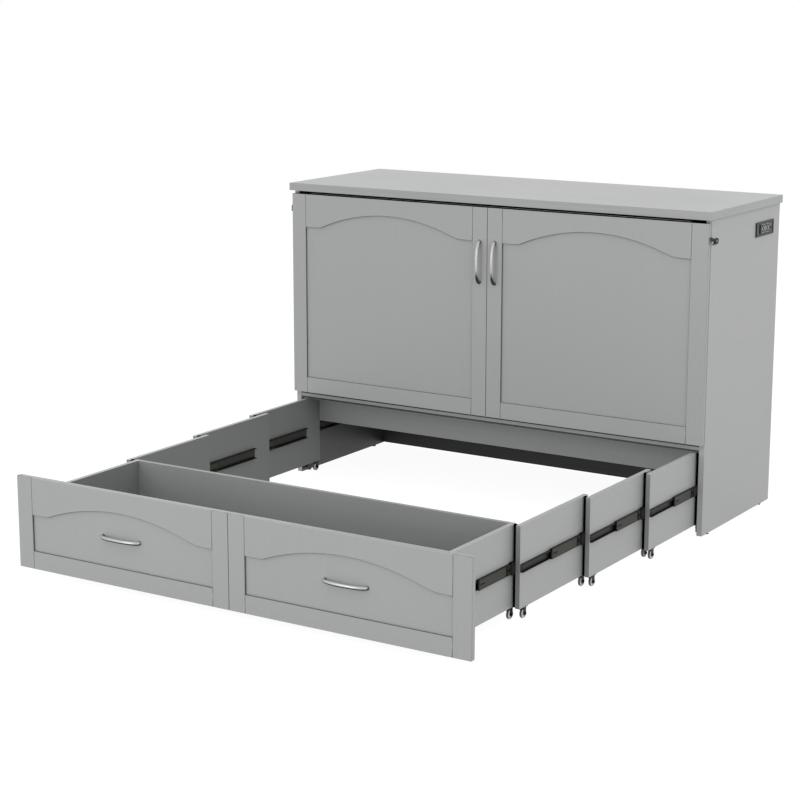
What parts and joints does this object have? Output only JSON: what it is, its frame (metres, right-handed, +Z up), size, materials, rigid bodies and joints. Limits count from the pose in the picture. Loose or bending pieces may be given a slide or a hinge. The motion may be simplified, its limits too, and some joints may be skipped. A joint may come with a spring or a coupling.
{
  "type": "cabinet bed",
  "caption": "Low wide cabinet whose framed front folds down and whose base drawer pulls out on telescoping side runs with casters to carry a bed.",
  "frame": {"origin": "on the floor, under the middle of the overall box with the drawer pulled out", "axes": "+X to the right of someone facing the cabinet, +Y to the rear, +Z up"},
  "size_m": [1.657, 2.0989, 1.088],
  "materials": {
    "grey_board": "smooth satin grey laminate, faint straight grain",
    "inner_board": "satin grey laminate",
    "handle_metal": "satin nickel",
    "hinge_metal": "satin steel",
    "slide_metal": "dark zinc",
    "latch_metal": "satin black",
    "fork_metal": "grey steel",
    "wheel_plastic": "light grey plastic",
    "outlet_plastic": "black plastic",
    "glide_plastic": "dark plastic glides and steel brackets"
  },
  "bodies": {
    "cabinet": {"top_board": "grey_board", "side_panel_left": "grey_board", "side_panel_right": "grey_board", "back_panel": "inner_board", "head_deck": "grey_board", "levelling_feet": "glide_plastic", "power_outlet": "outlet_plastic", "cabinet_slide_rails": "slide_metal", "latch_plates": "latch_metal", "deck_hinge_plate": "hinge_metal"},
    "flap": {"flap_board": "grey_board", "flap_frame": "grey_board", "flap_handles": "handle_metal", "flap_hinges_and_studs": "hinge_metal"},
    "leaf": {"fold_out_leaf": "grey_board", "leaf_hinge_plate": "hinge_metal"},
    "hook_left": {"latch_hook_left": "latch_metal"},
    "hook_right": {"latch_hook_right": "latch_metal"},
    "drawer": {"drawer_front_board": "grey_board", "drawer_front_frame": "grey_board", "drawer_handles": "handle_metal", "drawer_side_left": "inner_board", "drawer_side_right": "inner_board", "drawer_back": "inner_board", "drawer_bottom": "inner_board", "drawer_slide_rails": "slide_metal", "drawer_caster_forks": "fork_metal"},
    "stage_2": {"stage_2_side_left": "grey_board", "stage_2_side_right": "grey_board", "stage_2_slide_rails": "slide_metal", "stage_2_caster_forks": "fork_metal"},
    "stage_3": {"stage_3_side_left": "grey_board", "stage_3_side_right": "grey_board", "stage_3_slide_rails": "slide_metal", "stage_3_caster_forks": "fork_metal"},
    "stage_4": {"stage_4_side_left": "grey_board", "stage_4_side_right": "grey_board", "stage_4_slide_rails": "slide_metal", "stage_4_caster_forks": "fork_metal", "stage_4_cross_board": "grey_board"},
    "slide_1": {"slide_middle_1": "slide_metal"},
    "slide_2": {"slide_middle_2": "slide_metal"},
    "slide_3": {"slide_middle_3": "slide_metal"},
    "slide_4": {"slide_middle_4": "slide_metal"},
    "drawer_wheel_left_front": {"drawer_wheel_left_front": "wheel_plastic"},
    "drawer_wheel_left_rear": {"drawer_wheel_left_rear": "wheel_plastic"},
    "drawer_wheel_right_front": {"drawer_wheel_right_front": "wheel_plastic"},
    "drawer_wheel_right_rear": {"drawer_wheel_right_rear": "wheel_plastic"},
    "stage_2_wheel_left_front": {"stage_2_wheel_left_front": "wheel_plastic"},
    "stage_2_wheel_left_rear": {"stage_2_wheel_left_rear": "wheel_plastic"},
    "stage_2_wheel_right_front": {"stage_2_wheel_right_front": "wheel_plastic"},
    "stage_2_wheel_right_rear": {"stage_2_wheel_right_rear": "wheel_plastic"},
    "stage_3_wheel_left_front": {"stage_3_wheel_left_front": "wheel_plastic"},
    "stage_3_wheel_left_rear": {"stage_3_wheel_left_rear": "wheel_plastic"},
    "stage_3_wheel_right_front": {"stage_3_wheel_right_front": "wheel_plastic"},
    "stage_3_wheel_right_rear": {"stage_3_wheel_right_rear": "wheel_plastic"},
    "stage_4_wheel_left_front": {"stage_4_wheel_left_front": "wheel_plastic"},
    "stage_4_wheel_left_rear": {"stage_4_wheel_left_rear": "wheel_plastic"},
    "stage_4_wheel_right_front": {"stage_4_wheel_right_front": "wheel_plastic"},
    "stage_4_wheel_right_rear": {"stage_4_wheel_right_rear": "wheel_plastic"}
  },
  "joints": [
    {"name": "drawer_slide", "type": "slide", "parent": "cabinet", "child": "drawer", "axis": [0, -1, 0], "range_m": [-1.484, 0]},
    {"name": "stage_2_slide", "type": "slide", "parent": "cabinet", "child": "stage_2", "axis": [0, -1, 0], "range_m": [-1.10796, 0]},
    {"name": "stage_3_slide", "type": "slide", "parent": "cabinet", "child": "stage_3", "axis": [0, -1, 0], "range_m": [-0.72494, 0]},
    {"name": "stage_4_slide", "type": "slide", "parent": "cabinet", "child": "stage_4", "axis": [0, -1, 0], "range_m": [-0.36596, 0]},
    {"name": "slide_1_slide", "type": "slide", "parent": "cabinet", "child": "slide_1", "axis": [0, -1, 0], "range_m": [-1.29599, 0]},
    {"name": "slide_2_slide", "type": "slide", "parent": "cabinet", "child": "slide_2", "axis": [0, -1, 0], "range_m": [-0.91645, 0]},
    {"name": "slide_3_slide", "type": "slide", "parent": "cabinet", "child": "slide_3", "axis": [0, -1, 0], "range_m": [-0.54545, 0]},
    {"name": "slide_4_slide", "type": "slide", "parent": "cabinet", "child": "slide_4", "axis": [0, -1, 0], "range_m": [-0.18299, 0]},
    {"name": "flap_hinge", "type": "hinge", "parent": "cabinet", "child": "flap", "pos_m": [0, 0.4734, 0.3154], "axis": [1, 0, 0], "range_deg": [0, 90]},
    {"name": "leaf_hinge", "type": "hinge", "parent": "flap", "child": "leaf", "pos_m": [0, 0.47475, 1.0511], "axis": [1, 0, 0], "range_deg": [0, 180]},
    {"name": "hook_left_pivot", "type": "hinge", "parent": "cabinet", "child": "hook_left", "pos_m": [-0.824, 0.4955, 0.988], "axis": [-1, 0, 0], "range_deg": [-16, 74]},
    {"name": "hook_right_pivot", "type": "hinge", "parent": "cabinet", "child": "hook_right", "pos_m": [0.824, 0.4955, 0.988], "axis": [-1, 0, 0], "range_deg": [-16, 74]},
    {"name": "drawer_wheel_left_front_spin", "type": "hinge", "parent": "drawer", "child": "drawer_wheel_left_front", "pos_m": [-0.6977, -0.9545, 0.015], "axis": [1, 0, 0], "continuous": true},
    {"name": "drawer_wheel_left_rear_spin", "type": "hinge", "parent": "drawer", "child": "drawer_wheel_left_rear", "pos_m": [-0.6977, -0.6035, 0.015], "axis": [1, 0, 0], "continuous": true},
    {"name": "drawer_wheel_right_front_spin", "type": "hinge", "parent": "drawer", "child": "drawer_wheel_right_front", "pos_m": [0.6977, -0.9545, 0.015], "axis": [1, 0, 0], "continuous": true},
    {"name": "drawer_wheel_right_rear_spin", "type": "hinge", "parent": "drawer", "child": "drawer_wheel_right_rear", "pos_m": [0.6977, -0.6035, 0.015], "axis": [1, 0, 0], "continuous": true},
    {"name": "stage_2_wheel_left_front_spin", "type": "hinge", "parent": "stage_2", "child": "stage_2_wheel_left_front", "pos_m": [-0.7254, -0.57345, 0.015], "axis": [1, 0, 0], "continuous": true},
    {"name": "stage_2_wheel_left_rear_spin", "type": "hinge", "parent": "stage_2", "child": "stage_2_wheel_left_rear", "pos_m": [-0.7254, -0.20645, 0.015], "axis": [1, 0, 0], "continuous": true},
    {"name": "stage_2_wheel_right_front_spin", "type": "hinge", "parent": "stage_2", "child": "stage_2_wheel_right_front", "pos_m": [0.7254, -0.57345, 0.015], "axis": [1, 0, 0], "continuous": true},
    {"name": "stage_2_wheel_right_rear_spin", "type": "hinge", "parent": "stage_2", "child": "stage_2_wheel_right_rear", "pos_m": [0.7254, -0.20645, 0.015], "axis": [1, 0, 0], "continuous": true},
    {"name": "stage_3_wheel_left_front_spin", "type": "hinge", "parent": "stage_3", "child": "stage_3_wheel_left_front", "pos_m": [-0.7531, -0.19043, 0.015], "axis": [1, 0, 0], "continuous": true},
    {"name": "stage_3_wheel_left_rear_spin", "type": "hinge", "parent": "stage_3", "child": "stage_3_wheel_left_rear", "pos_m": [-0.7531, 0.17657, 0.015], "axis": [1, 0, 0], "continuous": true},
    {"name": "stage_3_wheel_right_front_spin", "type": "hinge", "parent": "stage_3", "child": "stage_3_wheel_right_front", "pos_m": [0.7531, -0.19043, 0.015], "axis": [1, 0, 0], "continuous": true},
    {"name": "stage_3_wheel_right_rear_spin", "type": "hinge", "parent": "stage_3", "child": "stage_3_wheel_right_rear", "pos_m": [0.7531, 0.17657, 0.015], "axis": [1, 0, 0], "continuous": true},
    {"name": "stage_4_wheel_left_front_spin", "type": "hinge", "parent": "stage_4", "child": "stage_4_wheel_left_front", "pos_m": [-0.7808, 0.16855, 0.015], "axis": [1, 0, 0], "continuous": true},
    {"name": "stage_4_wheel_left_rear_spin", "type": "hinge", "parent": "stage_4", "child": "stage_4_wheel_left_rear", "pos_m": [-0.7808, 0.53555, 0.015], "axis": [1, 0, 0], "continuous": true},
    {"name": "stage_4_wheel_right_front_spin", "type": "hinge", "parent": "stage_4", "child": "stage_4_wheel_right_front", "pos_m": [0.7808, 0.16855, 0.015], "axis": [1, 0, 0], "continuous": true},
    {"name": "stage_4_wheel_right_rear_spin", "type": "hinge", "parent": "stage_4", "child": "stage_4_wheel_right_rear", "pos_m": [0.7808, 0.53555, 0.015], "axis": [1, 0, 0], "continuous": true}
  ],
  "couplings": [
    {"joint": "stage_2_slide", "follows": "drawer_slide", "ratio": 0.7466},
    {"joint": "stage_3_slide", "follows": "drawer_slide", "ratio": 0.4885},
    {"joint": "stage_4_slide", "follows": "drawer_slide", "ratio": 0.2466},
    {"joint": "slide_1_slide", "follows": "drawer_slide", "ratio": 0.8733},
    {"joint": "slide_2_slide", "follows": "drawer_slide", "ratio": 0.61755},
    {"joint": "slide_3_slide", "follows": "drawer_slide", "ratio": 0.36755},
    {"joint": "slide_4_slide", "follows": "drawer_slide", "ratio": 0.1233},
    {"joint": "leaf_hinge", "follows": "flap_hinge", "ratio": 2}
  ]
}
